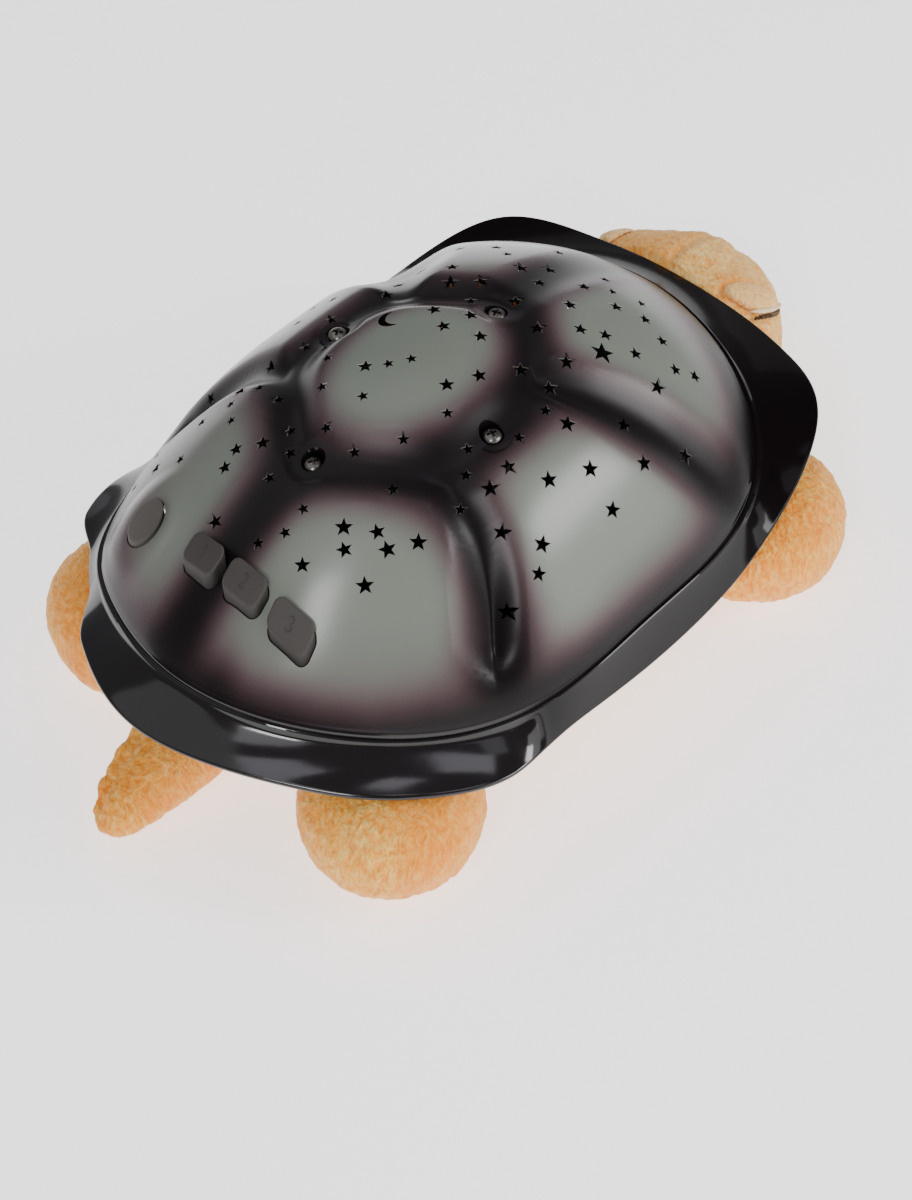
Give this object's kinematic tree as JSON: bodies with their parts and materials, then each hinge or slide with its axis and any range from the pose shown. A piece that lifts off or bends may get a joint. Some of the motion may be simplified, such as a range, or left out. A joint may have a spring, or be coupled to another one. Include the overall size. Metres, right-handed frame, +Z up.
{
  "type": "star night light projector",
  "caption": "Plush turtle night light with a glossy domed shell cut with stars and a moon, push buttons on the shell, and a lamp and battery unit inside.",
  "frame": {"origin": "centre of the toy's footprint, on the surface its feet stand on", "axes": "+X towards the head, +Y to the turtle's left, +Z up"},
  "size_m": [0.3146, 0.194, 0.1217],
  "materials": {
    "shell": "high gloss moulding, airbrushed pearl patches",
    "button": "matte soft-touch",
    "screw": "nickel plated",
    "housing": "fine satin",
    "dark_plastic": "matte",
    "circuit_board": "satin solder mask",
    "ribbon": "satin",
    "resistor": "satin",
    "capacitor": "sleeved",
    "led_blue": "clear tinted epoxy",
    "led_green": "clear tinted epoxy",
    "led_amber": "clear tinted epoxy",
    "cell": "plain printed sleeve",
    "contact": "nickel plated",
    "lead_red": "insulated wire",
    "lead_black": "insulated wire",
    "plush": "short brushed pile",
    "plush_light": "short brushed pile",
    "eye_thread": "embroidery thread"
  },
  "bodies": {
    "toy_body": {"shell_cover": "shell", "shell_screws": "screw", "switch_bodies": "dark_plastic", "button_board": "circuit_board", "button_board_screws": "screw", "button_frame": "housing", "frame_screws": "screw", "button_ribbon": "ribbon", "base_housing": "housing", "main_board": "circuit_board", "board_screws": "screw", "controller_chip": "dark_plastic", "resistors": "resistor", "capacitor": "capacitor", "led_post": "housing", "led_blue": "led_blue", "led_green": "led_green", "led_amber": "led_amber", "battery_cells": "cell", "battery_springs": "contact", "battery_plates": "contact", "battery_lead_red": "lead_red", "battery_lead_black": "lead_black", "plush_torso": "plush", "plush_head": "plush", "plush_foot_front_left": "plush", "plush_foot_front_right": "plush", "plush_foot_rear_left": "plush", "plush_foot_rear_right": "plush", "plush_tail": "plush", "eyelid_left": "plush_light", "eyelid_right": "plush_light", "eye_seam_left": "eye_thread", "eye_seam_right": "eye_thread"},
    "power_key": {"power_button": "button", "switch_plunger_power": "dark_plastic"},
    "color_key_1": {"color_button_1": "button", "switch_plunger_1": "dark_plastic"},
    "color_key_2": {"color_button_2": "button", "switch_plunger_2": "dark_plastic"},
    "color_key_3": {"color_button_3": "button", "switch_plunger_3": "dark_plastic"},
    "battery_lid": {"battery_door": "housing", "battery_door_screw": "screw"}
  },
  "joints": [
    {"name": "power_press", "type": "slide", "parent": "toy_body", "child": "power_key", "axis": [0, 0, -1], "range_m": [0, 0.0012], "stiffness_N_per_m": 400, "springref_m": -0.001},
    {"name": "color_1_press", "type": "slide", "parent": "toy_body", "child": "color_key_1", "axis": [0, 0, -1], "range_m": [0, 0.0012], "stiffness_N_per_m": 400, "springref_m": -0.001},
    {"name": "color_2_press", "type": "slide", "parent": "toy_body", "child": "color_key_2", "axis": [0, 0, -1], "range_m": [0, 0.0012], "stiffness_N_per_m": 400, "springref_m": -0.001},
    {"name": "color_3_press", "type": "slide", "parent": "toy_body", "child": "color_key_3", "axis": [0, 0, -1], "range_m": [0, 0.0012], "stiffness_N_per_m": 400, "springref_m": -0.001},
    {"name": "battery_lid_hinge", "type": "hinge", "parent": "toy_body", "child": "battery_lid", "pos_m": [-0.0028, 0.0256, 0.0119], "axis": [1, 0, 0], "range_deg": [0, 85]}
  ]
}
